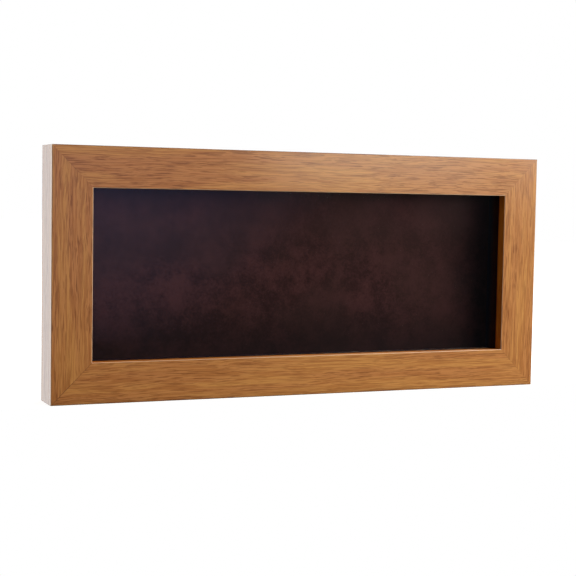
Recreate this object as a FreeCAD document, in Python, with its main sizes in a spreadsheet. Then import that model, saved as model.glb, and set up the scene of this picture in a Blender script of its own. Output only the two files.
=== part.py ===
import FreeCAD, Part
import os
import Sketcher

# A shadow box: four mitred and rabbeted rails round a glass pane, a lined display space, a suede-covered
# mount panel, and a back board that six turn buttons hold in the rabbet.
# Millimetres. +Z is up and the glass faces -Y. The origin is under the middle of the box, at its base.

SIZES = {
    # the frame, outside
    "frame_width": 608,
    "frame_height": 280,
    "frame_depth": 45,
    # the rails' section: the face seen from the front, the lip over the glass and the rabbet behind it
    "face_width": 45.5,
    "lip_depth": 12.7,
    "rabbet_width": 8,
    "front_arris": 1.0,
    "rear_arris": 0.6,
    # the panes and boards, and the play between their edges and the rabbet
    "edge_play": 1,
    "glass_thickness": 2,
    "spacer_thickness": 6.5,
    "spacer_play": 0.2,
    "suede_thickness": 0.8,
    "mount_thickness": 2.5,
    "back_thickness": 3,
    "back_recess": 0.5,
    # the turn buttons, each turning on a screw near the rabbet's edge
    "button_reach": 23,
    "button_tail": 7,
    "button_width": 12,
    "button_thickness": 1.2,
    "button_corner": 4,
    "button_edge": 0.3,
    "pivot_inset": 9,
    "pivot_spacing": 300,
    # pan-head screws
    "screw_radius": 1.75,
    "screw_play": 0.08,
    "screw_head_radius": 3.6,
    "screw_head_height": 2.1,
    "screw_head_round": 1.2,
    "screw_length": 14,
    "screw_point": 3,
    "recess_reach": 1.9,
    "recess_width": 0.7,
    "recess_depth": 1.1,
    # V-shaped nails across the mitres
    "v_leg": 7,
    "v_sheet": 0.6,
    "v_depth": 12,
    "v_outer_place": 12,
    "v_inner_place": 26,
    "v_proud": 0.15,
    # sawtooth hangers on the top rail
    "hanger_length": 46,
    "hanger_height": 9,
    "hanger_sheet": 0.8,
    "hanger_foot": 9,
    "hanger_slope": 3,
    "hanger_rise": 1.4,
    "hanger_inset": 20,
    "hanger_spacing": 400,
    "tooth_pitch": 2.4,
    "tooth_height": 1.5,
    "nail_radius": 0.7,
    "nail_head_radius": 2,
    "nail_head_height": 0.6,
    "nail_length": 13,
    "nail_point": 2,
    # rubber pads on the bottom rail
    "bumper_radius": 6,
    "bumper_height": 3.5,
    "bumper_round": 1.6,
    "bumper_spacing": 500,
    "bumper_inset": 16,
}
TOOTH_COUNT = 9

# Lengths and places that follow from the sizes. Y runs from the frame's front to the rear of the bumpers.
FRONT_Y = "(-(frame_depth + bumper_height) / 2)"
REAR_Y = f"({FRONT_Y} + frame_depth)"
GLASS_Y = f"({FRONT_Y} + lip_depth)"
SPACER_Y = f"({GLASS_Y} + glass_thickness)"
BACK_Y = f"({REAR_Y} - back_recess - back_thickness)"
MOUNT_Y = f"({BACK_Y} - mount_thickness)"
SUEDE_Y = f"({MOUNT_Y} - suede_thickness)"
SPACER_DEPTH = f"({SUEDE_Y} - {SPACER_Y})"
REAR_FACE = "(face_width - rabbet_width)"
RABBET_LENGTH = f"(frame_width - 2 * {REAR_FACE})"
RABBET_HEIGHT = f"(frame_height - 2 * {REAR_FACE})"
PIVOT = f"({REAR_FACE} - pivot_inset)"

# Each rail is drawn along X with its outer edge at Z = 0, then turned about Y by this angle into its place.
RAIL_ANGLES = {"bottom": 0, "right": -90, "top": 180, "left": 90}
CORNER_ANGLES = {"bottom_left": 45, "bottom_right": -45, "top_left": 135, "top_right": -135}
# Where the turn buttons sit: the rail, and the place along it from its middle.
BUTTONS = {
    "top_left": ("top", "pivot_spacing / 2"),
    "top_right": ("top", "-pivot_spacing / 2"),
    "bottom_left": ("bottom", "-pivot_spacing / 2"),
    "bottom_right": ("bottom", "pivot_spacing / 2"),
    "left": ("left", "0"),
    "right": ("right", "0"),
}
HANGERS = {"left": "-hanger_spacing / 2", "right": "hanger_spacing / 2"}
HANGER_HOLES = {"near": "-(hanger_length - hanger_foot) / 2", "far": "(hanger_length - hanger_foot) / 2"}
BUMPERS = {"left": "-bumper_spacing / 2", "right": "bumper_spacing / 2"}

NEAR = 1e-5

doc = FreeCAD.newDocument("shadow_box")
sheet = doc.addObject("Spreadsheet::Sheet", "Sizes")
sub_parts = []


def fill_sheet():
    """Writes every size into the sheet, under its own name."""
    for row, (alias, size) in enumerate(SIZES.items(), start=1):
        sheet.set(f"A{row}", alias)
        sheet.set(f"B{row}", str(size))
        sheet.setAlias(f"B{row}", alias)
    doc.recompute()


def formula(text):
    """The expression for text, in which sizes stand under their own names."""
    words = []
    word = ""
    for letter in text + " ":
        if letter.isalnum() or letter in "._":
            word += letter
            continue
        words.append(f"Sizes.{word}" if word in SIZES else word)
        words.append(letter)
        word = ""
    return "".join(words).strip()


def number(text):
    """What text comes to with the sizes as they are."""
    return float(sheet.evalExpression(formula(text)))


def bind(thing, **properties):
    """Ties each property to its text; two underscores stand for the dot in a name such as Placement.Base."""
    for name, text in properties.items():
        thing.setExpression(name.replace("__", "."), formula(text))


def place(thing, x="0", y="0", z="0", angle=0):
    """Turns thing about Y by angle and ties its place to x, y and z."""
    turn = FreeCAD.Rotation(FreeCAD.Vector(0, 1, 0), angle)
    thing.Placement = FreeCAD.Placement(FreeCAD.Vector(), turn)
    bind(thing, Placement__Base__x=x, Placement__Base__y=y, Placement__Base__z=z)


def keep(thing, label):
    """Names thing as a sub-part, which is written to a file of that name."""
    thing.Label = label
    sub_parts.append(thing)
    return thing


def on_rail(rail, along, inward):
    """The x and z of a point on a rail, along from its middle and inward from its outer edge."""
    return {
        "bottom": (f"{along}", f"{inward}"),
        "top": (f"-({along})", f"frame_height - {inward}"),
        "left": (f"-frame_width / 2 + {inward}", f"frame_height / 2 - ({along})"),
        "right": (f"frame_width / 2 - {inward}", f"frame_height / 2 + ({along})"),
    }[rail]


def new_sketch(body, name, plane, offset="0"):
    """A sketch on one of the body's own origin planes, offset along the plane's normal."""
    sketch = body.newObject("Sketcher::SketchObject", name)
    support = next(item for item in body.Origin.OriginFeatures if item.Role == plane)
    sketch.AttachmentSupport = [(support, "")]
    sketch.MapMode = "FlatFace"
    bind(sketch, AttachmentOffset__Base__z=offset)
    return sketch


def hold(sketch, item, point, across, up):
    """Ties a point of a sketch to its distances from the sketch's origin."""
    for kind, text, axis in (("DistanceX", across, -2), ("DistanceY", up, -1)):
        distance = number(text)
        if abs(distance) < NEAR:
            sketch.addConstraint(Sketcher.Constraint("PointOnObject", item, point, axis))
            continue
        index = sketch.addConstraint(Sketcher.Constraint(kind, -1, 1, item, point, distance))
        sketch.setExpression(f"Constraints[{index}]", formula(text))


def draw_outline(sketch, corners):
    """A closed run of straight lines through the corners."""
    points = [FreeCAD.Vector(number(across), number(up), 0) for across, up in corners]
    first = sketch.GeometryCount
    for start, end in zip(points, points[1:] + points[:1]):
        sketch.addGeometry(Part.LineSegment(start, end), False)
    for index, (across, up) in enumerate(corners):
        after = first + (index + 1) % len(corners)
        sketch.addConstraint(Sketcher.Constraint("Coincident", first + index, 2, after, 1))
        hold(sketch, first + index, 1, across, up)


def draw_rectangle(sketch, left, low, right, high):
    draw_outline(sketch, [(left, low), (right, low), (right, high), (left, high)])


def draw_circle(sketch, across, up, radius):
    centre = FreeCAD.Vector(number(across), number(up), 0)
    circle = sketch.addGeometry(Part.Circle(centre, FreeCAD.Vector(0, 0, 1), number(radius)), False)
    hold(sketch, circle, 3, across, up)
    index = sketch.addConstraint(Sketcher.Constraint("Radius", circle, number(radius)))
    sketch.setExpression(f"Constraints[{index}]", formula(radius))


def volume(body):
    doc.recompute()
    return body.Shape.Volume


def add_pad(body, name, sketch, length, backwards=False):
    """Thickens a sketch along its plane's normal, or against it."""
    pad = body.newObject("PartDesign::Pad", name)
    pad.Profile = sketch
    pad.Reversed = backwards
    bind(pad, Length=length)
    return pad


def add_pocket(body, name, sketch, depth, backwards=False):
    """Cuts a sketch's shape out of the body, and makes sure that it did."""
    before = volume(body)
    pocket = body.newObject("PartDesign::Pocket", name)
    pocket.Profile = sketch
    pocket.Reversed = backwards
    bind(pocket, Length=depth)
    if volume(body) > before - NEAR:
        raise RuntimeError(f"{body.Label}: {name} cut nothing")
    return pocket


def add_revolution(body, name, sketch):
    """Turns a sketch right round its vertical axis."""
    turned = body.newObject("PartDesign::Revolution", name)
    turned.Profile = sketch
    turned.ReferenceAxis = (sketch, ["V_Axis"])
    turned.Angle = 360
    return turned


def add_fillet(body, name, radius, wanted):
    """Rounds the edges that wanted picks by the list of their end points."""
    doc.recompute()
    base = body.Tip
    edges = [
        f"Edge{index}"
        for index, edge in enumerate(base.Shape.Edges, start=1)
        if wanted([vertex.Point for vertex in edge.Vertexes])
    ]
    if not edges:
        raise RuntimeError(f"{body.Label}: {name} found no edge")
    fillet = body.newObject("PartDesign::Fillet", name)
    fillet.Base = (base, edges)
    bind(fillet, Radius=radius)
    return fillet


def is_at(value, text):
    return abs(value - number(text)) < NEAR


def lies_at(ends, y, z=None):
    """Whether all the end points are at y, and at z where it is given."""
    return all(is_at(end.y, y) and (z is None or is_at(end.z, z)) for end in ends)


def make_rail(side, length):
    """One mitred moulding with its rabbet, eased arrises and the pilot holes for what is driven into it."""
    body = keep(doc.addObject("PartDesign::Body", f"frame_{side}"), f"frame_{side}")
    face = new_sketch(body, f"{side}_face", "XZ_Plane")
    draw_outline(
        face,
        [
            (f"-{length} / 2", "0"),
            (f"{length} / 2", "0"),
            (f"{length} / 2 - face_width", "face_width"),
            (f"-{length} / 2 + face_width", "face_width"),
        ],
    )
    add_pad(body, f"{side}_moulding", face, "frame_depth", backwards=True)
    rabbet = new_sketch(body, f"{side}_rabbet_area", "XZ_Plane", "-frame_depth")
    draw_rectangle(rabbet, f"-{length} / 2", REAR_FACE, f"{length} / 2", "face_width + rabbet_width")
    add_pocket(body, f"{side}_rabbet", rabbet, "frame_depth - lip_depth", backwards=True)
    add_fillet(
        body,
        f"{side}_front_arrises",
        "front_arris",
        lambda ends: lies_at(ends, "0", "0") or lies_at(ends, "0", "face_width"),
    )
    add_fillet(body, f"{side}_rear_arris", "rear_arris", lambda ends: lies_at(ends, "frame_depth", "0"))
    screws = new_sketch(body, f"{side}_screw_holes", "XZ_Plane", "-frame_depth")
    for rail, along in BUTTONS.values():
        if rail == side:
            draw_circle(screws, along, PIVOT, "screw_radius")
    add_pocket(body, f"{side}_screw_pilots", screws, "screw_length", backwards=True)
    if side == "top":
        nails = new_sketch(body, f"{side}_nail_holes", "XZ_Plane", "-frame_depth")
        for hanger in HANGERS.values():
            for hole in HANGER_HOLES.values():
                draw_circle(nails, f"{hanger} + {hole}", "hanger_inset", "nail_radius")
        add_pocket(body, f"{side}_nail_pilots", nails, "nail_length", backwards=True)
    x, z = on_rail(side, "0", "0")
    place(body, x, FRONT_Y, z, RAIL_ANGLES[side])


def make_board(label, length, height, thickness, y):
    """A flat pane or board, upright, in the middle of the frame."""
    board = keep(doc.addObject("Part::Box", label), label)
    bind(board, Length=length, Width=thickness, Height=height)
    place(board, f"-{length} / 2", y, f"(frame_height - {height}) / 2")


def make_spacer(label, length, height, x, z):
    """A strip that stands between the glass and the mount panel, centred on x and z."""
    spacer = keep(doc.addObject("Part::Box", label), label)
    bind(spacer, Length=length, Width=SPACER_DEPTH, Height=height)
    place(spacer, f"{x} - {length} / 2", SPACER_Y, f"{z} - {height} / 2")


def make_spacers():
    """Two long strips over the rabbet's whole length, and two short ones between them."""
    long_length = f"({RABBET_LENGTH} - 2 * spacer_play)"
    short_length = f"({RABBET_HEIGHT} - 2 * spacer_thickness - 4 * spacer_play)"
    middle = "(frame_height / 2)"
    rise = f"({RABBET_HEIGHT} / 2 - spacer_thickness / 2 - spacer_play)"
    reach = f"({RABBET_LENGTH} / 2 - spacer_thickness / 2 - spacer_play)"
    make_spacer("spacer_top", long_length, "spacer_thickness", "0", f"({middle} + {rise})")
    make_spacer("spacer_bottom", long_length, "spacer_thickness", "0", f"({middle} - {rise})")
    make_spacer("spacer_left", "spacer_thickness", short_length, f"(-{reach})", middle)
    make_spacer("spacer_right", "spacer_thickness", short_length, reach, middle)


def make_suede_cover(length, height):
    """The suede over the front of the mount board and down its four edges."""
    outer = doc.addObject("Part::Box", "suede_outside")
    bind(outer, Length=length, Width="suede_thickness + mount_thickness", Height=height)
    inner = doc.addObject("Part::Box", "suede_inside")
    bind(inner, Length=f"{length} - 2 * suede_thickness", Width="mount_thickness")
    bind(inner, Height=f"{height} - 2 * suede_thickness")
    place(inner, "suede_thickness", "suede_thickness", "suede_thickness")
    cover = keep(doc.addObject("Part::Cut", "suede_cover"), "suede_cover")
    cover.Base = outer
    cover.Tool = inner
    place(cover, f"-{length} / 2", SUEDE_Y, f"(frame_height - {height}) / 2")


def make_panes():
    """The glass, the mount panel with its suede, and the back board."""
    length = f"({RABBET_LENGTH} - 2 * edge_play)"
    height = f"({RABBET_HEIGHT} - 2 * edge_play)"
    make_board("glass_pane", length, height, "glass_thickness", GLASS_Y)
    make_suede_cover(length, height)
    inside = [f"({size} - 2 * suede_thickness)" for size in (length, height)]
    make_board("mount_board", *inside, "mount_thickness", MOUNT_Y)
    make_board("back_board", length, height, "back_thickness", BACK_Y)


def make_button(spot, rail, along):
    """A flat steel button with its pivot at the origin; it rests along its rail, pointing to -X there."""
    body = keep(doc.addObject("PartDesign::Body", f"turn_button_{spot}"), f"turn_button_{spot}")
    blank = new_sketch(body, f"{spot}_blank", "XZ_Plane")
    draw_rectangle(blank, "-button_reach", "-button_width / 2", "button_tail", "button_width / 2")
    add_pad(body, f"{spot}_plate", blank, "button_thickness", backwards=True)
    add_fillet(body, f"{spot}_corners", "button_corner", lambda ends: abs(ends[0].y - ends[-1].y) > NEAR)
    add_fillet(body, f"{spot}_edge", "button_edge", lambda ends: lies_at(ends, "button_thickness"))
    pivot = new_sketch(body, f"{spot}_pivot", "XZ_Plane")
    draw_circle(pivot, "0", "0", "screw_radius + screw_play")
    add_pocket(body, f"{spot}_hole", pivot, "button_thickness")
    x, z = on_rail(rail, along, PIVOT)
    place(body, x, REAR_Y, z, RAIL_ANGLES[rail])


def make_screw():
    """A pan-head screw along Y, with the surface that it is driven into at Y = 0."""
    body = doc.addObject("PartDesign::Body", "pan_head_screw")
    half = new_sketch(body, "screw_half", "XY_Plane")
    draw_outline(
        half,
        [
            ("0", "-screw_length"),
            ("screw_radius", "-screw_length + screw_point"),
            ("screw_radius", "button_thickness"),
            ("screw_head_radius", "button_thickness"),
            ("screw_head_radius", "button_thickness + screw_head_height"),
            ("0", "button_thickness + screw_head_height"),
        ],
    )
    add_revolution(body, "screw_shank_and_head", half)
    top = "button_thickness + screw_head_height"
    add_fillet(body, "screw_dome", "screw_head_round", lambda ends: lies_at(ends, top))
    cross = new_sketch(body, "screw_cross", "XZ_Plane", f"-({top})")
    arm, half_slot = "recess_reach", "recess_width / 2"
    quarter = [(arm, half_slot), (half_slot, half_slot), (half_slot, arm)]
    corners = []
    for turn in range(4):
        corners += quarter
        quarter = [(f"-({up})", across) for across, up in quarter]
    draw_outline(cross, corners)
    add_pocket(body, "screw_recess", cross, "recess_depth", backwards=True)
    return body


def make_nail():
    """A flat-headed nail along Y, with the surface that it is driven into at Y = 0."""
    body = doc.addObject("PartDesign::Body", "flat_head_nail")
    half = new_sketch(body, "nail_half", "XY_Plane")
    draw_outline(
        half,
        [
            ("0", "-nail_length"),
            ("nail_radius", "-nail_length + nail_point"),
            ("nail_radius", "hanger_sheet"),
            ("nail_head_radius", "hanger_sheet"),
            ("nail_head_radius", "hanger_sheet + nail_head_height"),
            ("0", "hanger_sheet + nail_head_height"),
        ],
    )
    add_revolution(body, "nail_shank_and_head", half)
    return body


def make_v_nail():
    """A folded steel V, its bisector along Z and its sheet reaching from Y = 0 to -Y."""
    body = doc.addObject("PartDesign::Body", "folded_v_nail")
    chevron = new_sketch(body, "v_chevron", "XZ_Plane")
    draw_outline(
        chevron,
        [
            ("0", "0"),
            ("v_leg", "-v_leg"),
            ("v_leg + v_sheet", "-v_leg + v_sheet"),
            ("0", "2 * v_sheet"),
            ("-v_leg - v_sheet", "-v_leg + v_sheet"),
            ("-v_leg", "-v_leg"),
        ],
    )
    add_pad(body, "v_fold", chevron, "v_depth")
    return body


def make_group(label, form, spots):
    """One node of separate solids: form at each of the spots, given as x, y, z and angle."""
    group = keep(doc.addObject("Part::Compound", label), label)
    links = []
    for index, (x, y, z, angle) in enumerate(spots, start=1):
        link = doc.addObject("App::Link", f"{label}_{index}")
        link.LinkedObject = form
        link.LinkTransform = False
        place(link, x, y, z, angle)
        links.append(link)
    group.Links = links


def make_fasteners():
    """The button screws, the hanger nails and the V nails, each kind in one node."""
    screws = []
    for rail, along in BUTTONS.values():
        x, z = on_rail(rail, along, PIVOT)
        screws.append((x, REAR_Y, z, RAIL_ANGLES[rail]))
    make_group("turn_button_screws", make_screw(), screws)
    nails = []
    for hanger in HANGERS.values():
        for hole in HANGER_HOLES.values():
            nails.append((f"{hanger} + {hole}", REAR_Y, "frame_height - hanger_inset", 0))
    make_group("hanger_nails", make_nail(), nails)
    v_nails = []
    for corner, angle in CORNER_ANGLES.items():
        for distance in ("v_outer_place", "v_inner_place"):
            x = f"frame_width / 2 - {distance}"
            x = f"-({x})" if "left" in corner else x
            z = f"frame_height - {distance}" if "top" in corner else distance
            v_nails.append((x, f"{REAR_Y} + v_proud", z, angle))
    make_group("v_nails", make_v_nail(), v_nails)


def make_hanger(spot, along):
    """A bowed steel strip nailed on at its two feet, with teeth along its lower edge."""
    label = f"sawtooth_hanger_{spot}"
    body = keep(doc.addObject("PartDesign::Body", label), label)
    foot = "(hanger_length / 2 - hanger_foot)"
    crest = f"({foot} - hanger_slope)"
    under = [("hanger_length / 2", "0"), (foot, "0"), (crest, "hanger_rise")]
    over = [(across, f"{up} + hanger_sheet") for across, up in under]
    right = list(reversed(under)) + over
    left = [(f"-{across}", up) for across, up in reversed(right)]
    bow = new_sketch(body, f"{spot}_bow", "XY_Plane", "-hanger_height / 2")
    draw_outline(bow, right + left)
    add_pad(body, f"{spot}_strip", bow, "hanger_height")
    teeth = new_sketch(body, f"{spot}_teeth", "XZ_Plane")
    low = "-hanger_height / 2"
    for index in range(TOOTH_COUNT):
        start = f"({index} - {TOOTH_COUNT} / 2) * tooth_pitch"
        notch = [
            (start, low),
            (f"{start} + tooth_pitch * 0.9", low),
            (f"{start} + tooth_pitch * 0.45", f"{low} + tooth_height"),
        ]
        draw_outline(teeth, notch)
    add_pocket(body, f"{spot}_notches", teeth, "hanger_rise + 2 * hanger_sheet")
    holes = new_sketch(body, f"{spot}_holes", "XZ_Plane")
    for hole in HANGER_HOLES.values():
        draw_circle(holes, hole, "0", "nail_radius")
    add_pocket(body, f"{spot}_nail_holes", holes, "hanger_sheet")
    place(body, along, REAR_Y, "frame_height - hanger_inset")


def make_bumper(spot, along):
    """A round rubber pad with a rounded rim, stuck to the rear of the bottom rail."""
    label = f"wall_bumper_{spot}"
    body = keep(doc.addObject("PartDesign::Body", label), label)
    half = new_sketch(body, f"{spot}_half", "XY_Plane")
    draw_rectangle(half, "0", "0", "bumper_radius", "bumper_height")
    add_revolution(body, f"{spot}_pad", half)
    add_fillet(body, f"{spot}_rim", "bumper_round", lambda ends: lies_at(ends, "bumper_height"))
    place(body, along, REAR_Y, "bumper_inset")


def check_model():
    """Stops if any object failed, or any sub-part is empty, broken or not made of solids."""
    for item in doc.Objects:
        if "Invalid" in item.State or "Error" in item.State:
            raise RuntimeError(f"{item.Label} failed: {item.State}")
    for item in sub_parts:
        if item.Shape.isNull() or not item.Shape.isValid() or not item.Shape.Solids:
            raise RuntimeError(f"{item.Label} has no valid solid")


fill_sheet()
make_rail("bottom", "frame_width")
make_rail("top", "frame_width")
make_rail("left", "frame_height")
make_rail("right", "frame_height")
make_panes()
make_spacers()
for spot, (rail, along) in BUTTONS.items():
    make_button(spot, rail, along)
make_fasteners()
for spot, along in HANGERS.items():
    make_hanger(spot, along)
for spot, along in BUMPERS.items():
    make_bumper(spot, along)
doc.recompute()
check_model()

os.makedirs("parts", exist_ok=True)
for item in sub_parts:
    item.Shape.exportStep(f"parts/{item.Label}.step")
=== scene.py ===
import math

import bmesh
import bpy
from mathutils import Matrix, Vector, noise


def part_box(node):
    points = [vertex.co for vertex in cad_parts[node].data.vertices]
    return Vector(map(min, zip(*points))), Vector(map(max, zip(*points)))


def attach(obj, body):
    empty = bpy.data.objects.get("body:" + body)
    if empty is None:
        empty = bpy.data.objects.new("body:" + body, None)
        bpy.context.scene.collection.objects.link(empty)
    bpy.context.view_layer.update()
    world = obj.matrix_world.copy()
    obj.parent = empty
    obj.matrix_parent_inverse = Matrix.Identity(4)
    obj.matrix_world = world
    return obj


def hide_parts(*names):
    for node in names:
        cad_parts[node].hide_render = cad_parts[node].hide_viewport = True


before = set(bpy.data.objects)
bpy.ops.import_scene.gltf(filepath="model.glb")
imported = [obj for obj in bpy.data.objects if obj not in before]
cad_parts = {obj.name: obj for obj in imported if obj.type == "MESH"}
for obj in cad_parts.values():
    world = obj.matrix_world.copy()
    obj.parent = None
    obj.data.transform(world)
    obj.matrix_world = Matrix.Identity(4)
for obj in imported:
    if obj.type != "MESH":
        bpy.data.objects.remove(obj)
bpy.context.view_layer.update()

MM = 0.001
UPRIGHTS = ("frame_left", "frame_right")

# Where in the timber each rail is cut from, in metres, so that no two share their grain.
GRAIN_SHIFTS = {
    "frame_top": (0.31, 0.13, 0.02),
    "frame_bottom": (1.42, 0.37, 0.71),
    "frame_left": (2.55, 0.61, 0.43),
    "frame_right": (3.18, 0.88, 1.06),
}

# The box's own planes, in metres.
FRAME_LOW, FRAME_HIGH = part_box("frame_bottom")[0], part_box("frame_top")[1]
FRONT, REAR = FRAME_LOW.y, FRAME_HIGH.y
WIDTH, HEIGHT = FRAME_HIGH.x - FRAME_LOW.x, FRAME_HIGH.z - FRAME_LOW.z
FRONT_MIDDLE = Vector((0, FRONT, HEIGHT / 2))
FACE_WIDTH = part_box("frame_bottom")[1].z - FRAME_LOW.z

# Camera: its place in box heights from the middle of the front, its turns in degrees, and its lens.
CAMERA_PLACE = (-2.3117, -5.0969, 0.3044)
CAMERA_YAW, CAMERA_PITCH, CAMERA_ROLL = 23.424, 3.715, 0.9675
LENS, SENSOR = 84.98, 36

# The suede: the radius it turns over the board's edges, the spacing of its points, and how it lies.
BEND_RADIUS = 1.4 * MM
BEND_STEPS = 4
SUEDE_CELL = 6 * MM
SUEDE_LIFT = 0.12 * MM
RIPPLE_HEIGHT = 0.12 * MM
RIPPLES_PER_METRE = 24

# The floor: its reach in front of the box, to the sides and to the back, in box heights.
FLOOR_FRONT, FLOOR_SIDE, FLOOR_BACK = 0.012, 14, 40


class Tree:
    """A material's nodes, one short call for each."""

    def __init__(self, name):
        self.material = bpy.data.materials.new(name)
        self.material.use_nodes = True
        self.nodes = self.material.node_tree.nodes
        self.nodes.clear()
        self.output = self.nodes.new("ShaderNodeOutputMaterial")

    def node(self, kind, inputs=None, **settings):
        """A node with its settings; each input is a value, or a socket to link."""
        made = self.nodes.new(f"ShaderNode{kind}")
        for name, value in settings.items():
            setattr(made, name, value)
        for name, value in (inputs or {}).items():
            if isinstance(value, bpy.types.NodeSocket):
                self.material.node_tree.links.new(value, made.inputs[name])
            else:
                made.inputs[name].default_value = value
        return made

    def place(self):
        return self.node("TexCoord").outputs["Object"]

    def mapped(self, vector, scale=(1, 1, 1), shift=(0, 0, 0), turn=(0, 0, 0)):
        inputs = {"Vector": vector, "Scale": scale, "Location": shift, "Rotation": turn}
        return self.node("Mapping", inputs).outputs["Vector"]

    def noise(self, vector, detail=2.0, roughness=0.5):
        inputs = {"Vector": vector, "Scale": 1, "Detail": detail, "Roughness": roughness}
        return self.node("TexNoise", inputs).outputs["Fac"]

    def math(self, operation, a, b=0.0):
        return self.node("Math", {0: a, 1: b}, operation=operation).outputs[0]

    def split(self, vector):
        """A vector's X, Y and Z."""
        return self.node("SeparateXYZ", {0: vector}).outputs

    def ramp(self, factor, low, high, start=0.0, end=1.0):
        """factor, taken smoothly from low..high to start..end."""
        inputs = {"Value": factor, "From Min": low, "From Max": high, "To Min": start, "To Max": end}
        return self.node("MapRange", inputs, interpolation_type="SMOOTHSTEP").outputs["Result"]

    def mix(self, factor, a, b, blend="MIX"):
        inputs = {0: factor, 6: a, 7: b}
        return self.node("Mix", inputs, data_type="RGBA", blend_type=blend).outputs[2]

    def bump(self, height, strength, distance):
        inputs = {"Height": height, "Strength": strength, "Distance": distance}
        return self.node("Bump", inputs).outputs["Normal"]

    def finish(self, shader):
        self.material.node_tree.links.new(shader.outputs[0], self.output.inputs["Surface"])
        return self.material


def colour(red, green, blue):
    return (red, green, blue, 1.0)


def oak(name, along_z, shift):
    """Honey-coloured oak with its grain along the rail, reddish flecks and a hairline at each mitre."""
    tree = Tree(name)
    place = tree.place()
    turn = (0, math.pi / 2, 0) if along_z else (0, 0, 0)
    grain = tree.mapped(place, shift=shift, turn=turn)

    def streaks(length, width, **settings):
        scale = (1 / (length * MM), 1 / (width * MM), 1 / (width * MM))
        return tree.noise(tree.mapped(grain, scale=scale), **settings)

    wander = streaks(90, 30, detail=1.0)
    sideways = {"Y": tree.math("MULTIPLY", wander, 6 * MM), "Z": tree.math("MULTIPLY", wander, 8 * MM)}
    sway = tree.node("CombineXYZ", sideways).outputs[0]
    grain = tree.node("VectorMath", {0: grain, 1: sway}, operation="ADD").outputs[0]
    broad = streaks(220, 14, detail=2.0)
    bands = streaks(60, 2.0, detail=2.0, roughness=0.6)
    flecks = streaks(24, 1.0, detail=2.0, roughness=0.6)
    fibres = streaks(60, 0.5, detail=1.0)

    ground = tree.mix(tree.ramp(broad, 0.36, 0.64), colour(0.52, 0.212, 0.062), colour(0.59, 0.268, 0.070))
    banded = tree.mix(tree.ramp(bands, 0.44, 0.62, 0, 0.7), ground, colour(0.395, 0.138, 0.030))
    where = tree.math("MULTIPLY", tree.ramp(flecks, 0.5, 0.62), tree.ramp(broad, 0.4, 0.6, 1.0, 0.45))
    flecked = tree.mix(tree.math("MULTIPLY", where, 0.85), banded, colour(0.235, 0.074, 0.012))
    fine = tree.mix(tree.ramp(fibres, 0.4, 0.7, 0, 0.16), flecked, colour(0.22, 0.085, 0.035))

    # How far inward a point lies from the sides and from the top or bottom; they are equal along a mitre.
    across, deep, up = tree.split(place)
    from_side = tree.math("SUBTRACT", WIDTH / 2, tree.math("ABSOLUTE", across))
    from_middle = tree.math("ABSOLUTE", tree.math("SUBTRACT", up, HEIGHT / 2))
    from_end = tree.math("SUBTRACT", HEIGHT / 2, from_middle)
    off_mitre = tree.math("ABSOLUTE", tree.math("SUBTRACT", from_side, from_end))
    filler = tree.noise(tree.mapped(place, scale=(40, 40, 40)), detail=2.0)
    lower_left = tree.math("ADD", across, up)
    opened = tree.ramp(lower_left, -0.9 * WIDTH / 2, -0.3 * WIDTH / 2, 0.5, 0.0)
    shows = tree.math("ADD", opened, tree.ramp(filler, 0.4, 0.65, 0.0, 0.45))
    hairline = tree.math("MULTIPLY", tree.ramp(off_mitre, 0.15 * MM, 0.5 * MM, 1.0, 0.0), shows)
    joined = tree.mix(hairline, fine, colour(0.10, 0.040, 0.018))

    # Inside the lip the colour is deepened to orange: painted shade and bounce light. Over the arrises,
    # where the normal lies along no axis, they get a painted highlight; the outer edges but the left one
    # get painted shade.
    inward = tree.math("MINIMUM", from_side, from_end)
    lip = tree.ramp(inward, FACE_WIDTH - 0.4 * MM, FACE_WIDTH - 0.1 * MM)
    # Painted shade and warm bounce light: the lip's inner face is multiplied towards a deeper orange.
    lip_painted_shade = tree.mix(lip, joined, tree.mix(1.0, joined, colour(1.12, 0.84, 0.25), blend="MULTIPLY"))
    left_side = -WIDTH / 2
    past_left = tree.ramp(across, left_side + 1 * MM, left_side + 3 * MM)
    # Pale painted highlight on the arrises, and dark painted shade along the outer edges except the left
    # one.
    outer_edge_shade = tree.math("MULTIPLY", tree.ramp(inward, 3 * MM, 4 * MM, 1, 0), past_left)
    two_tone = tree.mix(outer_edge_shade, colour(0.90, 0.68, 0.48), colour(0.10, 0.045, 0.02))
    normal = tree.node("TexCoord").outputs["Normal"]
    facing = tree.split(tree.node("VectorMath", {0: normal}, operation="ABSOLUTE").outputs[0])
    squarest = tree.math("MAXIMUM", tree.math("MAXIMUM", facing[0], facing[1]), facing[2])
    # A strip of the left side near the front gets the pale painted highlight as well.
    left = tree.ramp(across, left_side + 0.2 * MM, left_side + 0.6 * MM, 1.0, 0.0)
    left_side_highlight = tree.math("MULTIPLY", left, tree.ramp(deep, FRONT + 1.5 * MM, FRONT + 7 * MM, 0.8, 0.0))
    arris = tree.math("MAXIMUM", left_side_highlight, tree.ramp(squarest, 0.8, 0.99, 0.75, 0.0))
    arris_painted_light = tree.mix(arris, lip_painted_shade, two_tone)

    # The rear face is bare wood.
    bare = tree.ramp(deep, REAR - 0.9 * MM, REAR - 0.2 * MM)
    raw = tree.mix(0.6, joined, colour(0.50, 0.34, 0.19))
    base = tree.mix(bare, arris_painted_light, raw)
    height = tree.math("ADD", tree.math("MULTIPLY", where, -0.6), tree.math("MULTIPLY", fibres, 0.5))
    rough = tree.math("ADD", tree.math("MULTIPLY", where, 0.12), tree.math("MULTIPLY", bare, 0.3))
    shader = tree.node(
        "BsdfPrincipled",
        {
            "Base Color": base,
            "Roughness": tree.math("ADD", rough, 0.45),
            "Specular IOR Level": 0.15,
            "Normal": tree.bump(height, 0.35, 0.12 * MM),
            "Coat Weight": tree.math("SUBTRACT", 1.0, lip),
            "Coat Roughness": 0.17,
        },
    )
    return tree.finish(shader)


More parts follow.
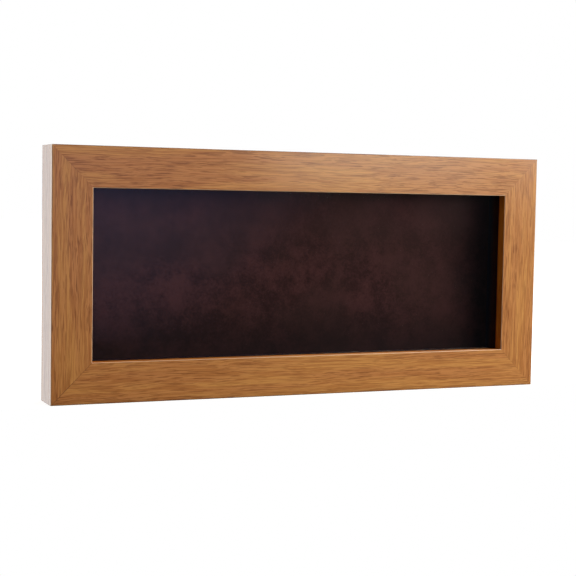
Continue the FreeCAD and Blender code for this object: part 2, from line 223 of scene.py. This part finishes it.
def suede():
    """Dark brown suede: a mottled nap with a fine tooth."""
    tree = Tree("suede")
    place = tree.place()
    clouds = tree.noise(tree.mapped(place, scale=(24, 24, 24)), detail=8.0, roughness=0.78)
    drift = tree.noise(tree.mapped(place, scale=(9, 9, 9), shift=(3, 0, 1)), detail=2.0)
    nap = tree.noise(tree.mapped(place, scale=(450, 450, 450)), detail=3.0, roughness=0.7)
    brushed = tree.math("ADD", tree.math("MULTIPLY", clouds, 0.75), tree.math("MULTIPLY", nap, 0.25))
    shaded, lit = colour(0.038, 0.0110, 0.0120), colour(0.103, 0.0325, 0.0335)
    two_tone = tree.mix(tree.ramp(brushed, 0.38, 0.62), shaded, lit)
    tinted = tree.mix(tree.ramp(drift, 0.42, 0.62, 0, 0.45), two_tone, colour(0.056, 0.0225, 0.0205))

    # Painted shade darkens the suede towards the foot and the right-hand end, and painted light lightens it
    # along the top.
    across, _, up = tree.split(place)
    low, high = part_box("frame_bottom")[1].z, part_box("frame_top")[0].z
    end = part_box("frame_right")[0].x
    foot_shade = tree.ramp(up, low, low + 75 * MM, 0.7, 0.0)
    # Painted shade within the last 85 mm before the right-hand end.
    far = tree.ramp(across, end - 85 * MM, end - 10 * MM, 0.0, 0.6)
    nap_painted_shade = tree.mix(tree.math("MAXIMUM", foot_shade, far), tinted, colour(0.014, 0.0055, 0.0070))
    # A painted highlight lightens the band along the top.
    base = tree.mix(tree.ramp(up, high - 70 * MM, high, 0.0, 0.45), nap_painted_shade, colour(0.105, 0.038, 0.042))
    shader = tree.node(
        "BsdfPrincipled",
        {
            "Base Color": base,
            "Roughness": 0.92,
            "Specular IOR Level": 0.2,
            "Sheen Weight": 0.06,
            "Sheen Roughness": 0.5,
            "Sheen Tint": colour(0.6, 0.42, 0.4),
            "Normal": tree.bump(brushed, 0.5, 0.3 * MM),
        },
    )
    return tree.finish(shader)


def painted_strip():
    """Matt blue-black paint over smooth wood."""
    tree = Tree("black_paint")
    grain = tree.noise(tree.mapped(tree.place(), scale=(60, 900, 900)), detail=2.0)
    deepest, palest = colour(0.0012, 0.0030, 0.0200), colour(0.0024, 0.0050, 0.0300)
    shade = tree.mix(tree.ramp(grain, 0.3, 0.7), deepest, palest)
    shader = tree.node(
        "BsdfPrincipled",
        {
            "Base Color": shade,
            "Specular IOR Level": 0.2,
            "Roughness": tree.ramp(grain, 0.2, 0.8, 0.5, 0.68),
            "Normal": tree.bump(grain, 0.2, 0.05 * MM),
        },
    )
    return tree.finish(shader)


def coated_glass():
    """A clear pane whose coating leaves only a faint reflection."""
    tree = Tree("coated_glass")
    fresnel = tree.node("Fresnel", {"IOR": 1.5}).outputs[0]
    smears = tree.noise(tree.mapped(tree.place(), scale=(14, 14, 14)), detail=3.0)
    roughness = tree.ramp(smears, 0.3, 0.7, 0.04, 0.08)
    gloss = tree.node("BsdfGlossy", {"Color": colour(0.9, 0.95, 1), "Roughness": roughness}).outputs[0]
    clear = tree.node("BsdfTransparent", {"Color": colour(0.97, 0.985, 0.98)}).outputs[0]
    mirrored = tree.math("MULTIPLY", fresnel, 0.5)
    return tree.finish(tree.node("MixShader", {0: mirrored, 1: clear, 2: gloss}))


def pressed_board(name, dark, light, roughness):
    """Wood-fibre board: a fine felt of fibres and larger soft patches."""
    tree = Tree(name)
    place = tree.place()
    fibres = tree.noise(tree.mapped(place, scale=(700, 700, 700)), detail=3.0, roughness=0.7)
    patches = tree.noise(tree.mapped(place, scale=(22, 22, 22)), detail=2.0)
    felt = tree.math("ADD", tree.math("MULTIPLY", fibres, 0.6), tree.math("MULTIPLY", patches, 0.4))
    shader = tree.node(
        "BsdfPrincipled",
        {
            "Base Color": tree.mix(tree.ramp(felt, 0.36, 0.64), dark, light),
            "Roughness": tree.ramp(fibres, 0.3, 0.7, roughness - 0.08, roughness + 0.08),
            "Normal": tree.bump(fibres, 0.3, 0.08 * MM),
        },
    )
    return tree.finish(shader)


def zinc(name, roughness):
    """Zinc-plated steel, faintly mottled and scuffed."""
    tree = Tree(name)
    place = tree.place()
    spangle = tree.noise(tree.mapped(place, scale=(420, 420, 420)), detail=2.0)
    scuffs = tree.noise(tree.mapped(place, scale=(300, 300, 2600)), detail=2.0)
    dull, clean = colour(0.42, 0.425, 0.43), colour(0.58, 0.58, 0.57)
    shader = tree.node(
        "BsdfPrincipled",
        {
            "Base Color": tree.mix(tree.ramp(spangle, 0.3, 0.7), dull, clean),
            "Metallic": 0.72,
            "Roughness": tree.ramp(scuffs, 0.3, 0.7, roughness - 0.06, roughness + 0.1),
            "Normal": tree.bump(scuffs, 0.15, 0.03 * MM),
        },
    )
    return tree.finish(shader)


def rubber():
    """Black rubber with a fine pitted surface."""
    tree = Tree("rubber")
    pits = tree.noise(tree.mapped(tree.place(), scale=(1400, 1400, 1400)), detail=2.0)
    shader = tree.node(
        "BsdfPrincipled",
        {
            "Base Color": tree.mix(pits, colour(0.012, 0.012, 0.012), colour(0.03, 0.03, 0.03)),
            "Roughness": tree.ramp(pits, 0.3, 0.7, 0.6, 0.8),
            "Normal": tree.bump(pits, 0.3, 0.05 * MM),
        },
    )
    return tree.finish(shader)


def paint(names, material):
    for name in names:
        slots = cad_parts[name].data.materials
        slots.clear()
        slots.append(material)


def starting(prefix):
    return [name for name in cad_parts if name.startswith(prefix)]


def paint_frame():
    """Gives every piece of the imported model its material."""
    for name, shift in GRAIN_SHIFTS.items():
        paint([name], oak(name.replace("frame", "oak"), name in UPRIGHTS, shift))
    paint(starting("spacer_"), painted_strip())
    paint(["glass_pane"], coated_glass())
    fibre_board = pressed_board("fibre_board", colour(0.30, 0.22, 0.14), colour(0.46, 0.36, 0.25), 0.85)
    paint(["mount_board"], fibre_board)
    hardboard = pressed_board("hardboard", colour(0.13, 0.068, 0.034), colour(0.24, 0.135, 0.072), 0.5)
    paint(["back_board"], hardboard)
    plate = zinc("zinc_plate", 0.45)
    paint(starting("turn_button_"), plate)
    paint(starting("sawtooth_"), plate)
    paint(["turn_button_screws", "hanger_nails", "v_nails"], zinc("bright_zinc", 0.26))
    paint(starting("wall_bumper_"), rubber())


def suede_profile(start, end, depth):
    """The suede's points along one side, as (place, fall behind its front): up an edge, round its bend,
    across the front, round the other bend and down."""
    count = round((end - start) / SUEDE_CELL)
    flat = end - start - 2 * BEND_RADIUS
    turns = [math.pi / 2 * step / BEND_STEPS for step in range(BEND_STEPS)]
    bend = [(BEND_RADIUS * (1 - math.cos(turn)), BEND_RADIUS * (1 - math.sin(turn))) for turn in turns]
    near = [(start, depth)] + [(start + inset, fall) for inset, fall in bend]
    front = [(start + BEND_RADIUS + flat * step / count, 0.0) for step in range(count + 1)]
    far = [(end - inset, fall) for inset, fall in reversed(bend)] + [(end, depth)]
    return near + front + far


def suede_mesh(low, high):
    """A grid over the mount board's front and down its edges, with faint ripples on the front."""
    depth = high.y - low.y
    mesh = bmesh.new()
    grid = []
    for z, fall_z in suede_profile(low.z, high.z, depth):
        row = []
        for x, fall_x in suede_profile(low.x, high.x, depth):
            fall = max(fall_x, fall_z)
            if fall == 0:
                fall = SUEDE_LIFT + noise.noise(Vector((x, z, 0)) * RIPPLES_PER_METRE) * RIPPLE_HEIGHT
            row.append(mesh.verts.new((x, low.y + fall, z)))
        grid.append(row)
    for below, above in zip(grid, grid[1:]):
        for corners in zip(below, below[1:], above[1:], above):
            mesh.faces.new(corners)
    bmesh.ops.recalc_face_normals(mesh, faces=mesh.faces)
    for face in mesh.faces:
        face.smooth = True
    data = bpy.data.meshes.new("suede_sheet")
    mesh.to_mesh(data)
    mesh.free()
    return data


def make_suede_sheet():
    """The suede, drawn tight over the mount board's front and down its edges."""
    low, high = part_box("suede_cover")
    data = suede_mesh(low, high)
    data.materials.append(suede())
    sheet = bpy.data.objects.new("suede_sheet", data)
    bpy.context.scene.collection.objects.link(sheet)
    solid = sheet.modifiers.new("thickness", "SOLIDIFY")
    solid.thickness = 0.8 * (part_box("mount_board")[0].y - low.y)
    solid.offset = -1
    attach(sheet, "back_panel")
    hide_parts("suede_cover")


def add_light(name, bearing, elevation, distance, size, radiance, tint=(1, 1, 1), spread=180):
    """A soft square light that faces the box. Its bearing is in degrees to the right of straight ahead of
    the box, its elevation in degrees above level, and its distance and size are in box heights."""
    turn, rise = math.radians(bearing), math.radians(elevation)
    towards = Vector((math.sin(turn) * math.cos(rise), -math.cos(turn) * math.cos(rise), math.sin(rise)))
    data = bpy.data.lights.new(name, "AREA")
    data.shape = "SQUARE"
    data.size = size * HEIGHT
    data.energy = radiance * math.pi * data.size**2
    data.color = tint
    data.spread = math.radians(spread)
    light = bpy.data.objects.new(name, data)
    light.location = FRONT_MIDDLE + towards * distance * HEIGHT
    light.rotation_euler = (-towards).to_track_quat("-Z", "Y").to_euler()
    light.visible_camera = False
    bpy.context.scene.collection.objects.link(light)


def make_lights():
    """Lamps and glowing cards. The cool card shows faintly in the glass, and the glows in the left side."""
    add_light("key", 58, 24, distance=8, size=5.6, radiance=8.3, tint=(1.0, 0.985, 0.89))
    add_light("upper_strip", 29, 11.5, distance=8, size=2.2, radiance=4.3, tint=(1.0, 0.99, 0.86))
    add_light("low_card", 57, -38, distance=8, size=3.4, radiance=5.4, tint=(1.0, 0.92, 0.79))
    add_light("fill", -42, 30, distance=8, size=4, radiance=0.9, tint=(1.0, 0.62, 0.38))
    cool = (0.42, 0.5, 1.0)
    add_light("cool_card", 12.5, 6.5, distance=9, size=4.6, radiance=0.024, tint=cool, spread=28)
    add_light("backdrop_glow", -158, 6, distance=10, size=8, radiance=1.45)
    add_light("side_glow", -110, 6, distance=8, size=9, radiance=1.3, tint=(1.0, 0.93, 0.86))
    add_light("rear_key", 148, 38, distance=9, size=4, radiance=4.0)


def make_world():
    """White where the camera looks past everything, and dim to the object."""
    world = bpy.data.worlds.new("studio")
    world.use_nodes = True
    nodes, links = world.node_tree.nodes, world.node_tree.links
    nodes.clear()
    seen, cast = nodes.new("ShaderNodeBackground"), nodes.new("ShaderNodeBackground")
    seen.inputs["Color"].default_value = (1, 1, 1, 1)
    cast.inputs["Color"].default_value = (0.82, 0.9, 1, 1)
    cast.inputs["Strength"].default_value = 0.035
    mix, path = nodes.new("ShaderNodeMixShader"), nodes.new("ShaderNodeLightPath")
    links.new(path.outputs["Is Camera Ray"], mix.inputs[0])
    links.new(cast.outputs[0], mix.inputs[1])
    links.new(seen.outputs[0], mix.inputs[2])
    output = nodes.new("ShaderNodeOutputWorld")
    links.new(mix.outputs[0], output.inputs["Surface"])
    bpy.context.scene.world = world


def make_floor():
    """A white table top that ends a little way in front of the box and throws no light up at it."""
    data = bpy.data.meshes.new("floor")
    side, front, back = FLOOR_SIDE * HEIGHT, FRONT - FLOOR_FRONT * HEIGHT, FLOOR_BACK * HEIGHT
    corners = [(-side, front, 0), (side, front, 0), (side, back, 0), (-side, back, 0)]
    data.from_pydata(corners, [], [(0, 1, 2, 3)])
    floor = bpy.data.objects.new("floor", data)
    floor.visible_diffuse = floor.visible_glossy = False
    bpy.context.scene.collection.objects.link(floor)
    tree = Tree("pale_floor")
    place = tree.place()
    speckle = tree.noise(tree.mapped(place, scale=(9, 9, 9)), detail=2.0)
    shade = tree.mix(speckle, colour(0.38, 0.38, 0.38), colour(0.42, 0.42, 0.42))
    away = tree.node("VectorMath", {0: place}, operation="LENGTH").outputs["Value"]
    glow = tree.ramp(away, 1.1 * HEIGHT, 1.35 * HEIGHT, 0.88, 1.1)
    shader = tree.node(
        "BsdfPrincipled",
        {
            "Base Color": shade,
            "Roughness": 0.9,
            "Emission Color": colour(1, 1, 1),
            "Emission Strength": glow,
        },
    )
    data.materials.append(tree.finish(shader))


def make_camera():
    """Turned left or right first, then down, then about its own axis."""
    data = bpy.data.cameras.new("camera")
    data.lens, data.sensor_width = LENS, SENSOR
    camera = bpy.data.objects.new("camera", data)
    bpy.context.scene.collection.objects.link(camera)
    yaw, pitch, roll = (math.radians(angle) for angle in (CAMERA_YAW, CAMERA_PITCH, CAMERA_ROLL))
    ahead = Vector((math.sin(yaw) * math.cos(pitch), math.cos(yaw) * math.cos(pitch), -math.sin(pitch)))
    level = Vector((math.cos(yaw), -math.sin(yaw), 0))
    upward = level.cross(ahead)
    right = level * math.cos(roll) + upward * math.sin(roll)
    up = upward * math.cos(roll) - level * math.sin(roll)
    turn = Matrix((right, up, -ahead)).transposed().to_4x4()
    camera.matrix_world = Matrix.Translation(FRONT_MIDDLE + Vector(CAMERA_PLACE) * HEIGHT) @ turn
    bpy.context.scene.camera = camera


make_camera()
make_world()
make_lights()
make_floor()
paint_frame()
make_suede_sheet()
bpy.context.scene.view_settings.view_transform = "Standard"
bpy.context.view_layer.update()
